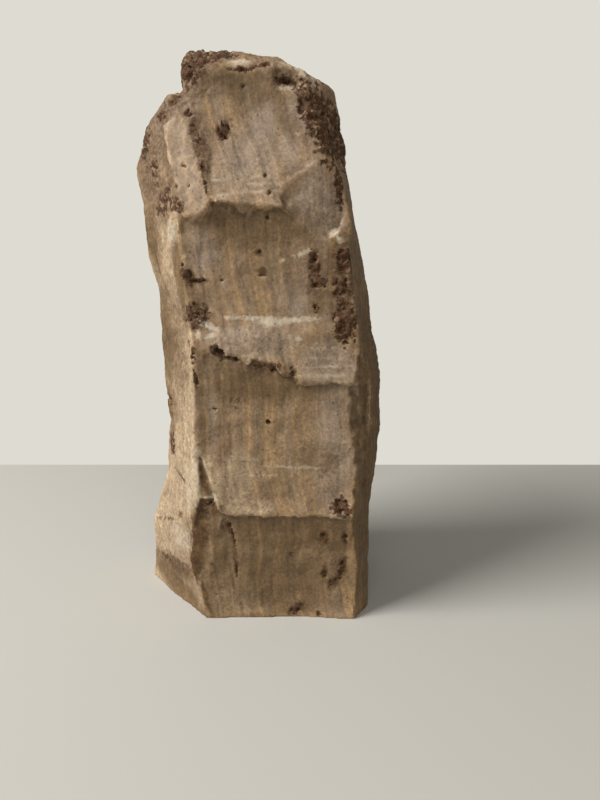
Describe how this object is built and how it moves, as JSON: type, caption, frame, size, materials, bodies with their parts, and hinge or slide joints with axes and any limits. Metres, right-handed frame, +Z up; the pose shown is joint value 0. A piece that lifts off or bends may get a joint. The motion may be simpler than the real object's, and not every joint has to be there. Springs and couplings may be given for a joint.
{
  "type": "soapstone block",
  "caption": "Rough upright block of tan soapstone with scooped, hand-hewn faces, sharp ledges and patches of dark weathered skin; stands on a flat foot.",
  "frame": {"origin": "middle of the block's box, on the plane of its flat foot", "axes": "+Z up; the scooped front face looks along -Y; +X to the right as the front is seen"},
  "size_m": [0.1086, 0.09, 0.2351],
  "materials": {
    "soapstone": "broken soapstone: matt, with a faint waxy sheen on the split faces, fine banding and dull brown weathered skin"
  },
  "bodies": {
    "root": {"stone_block": "soapstone"}
  },
  "joints": []
}
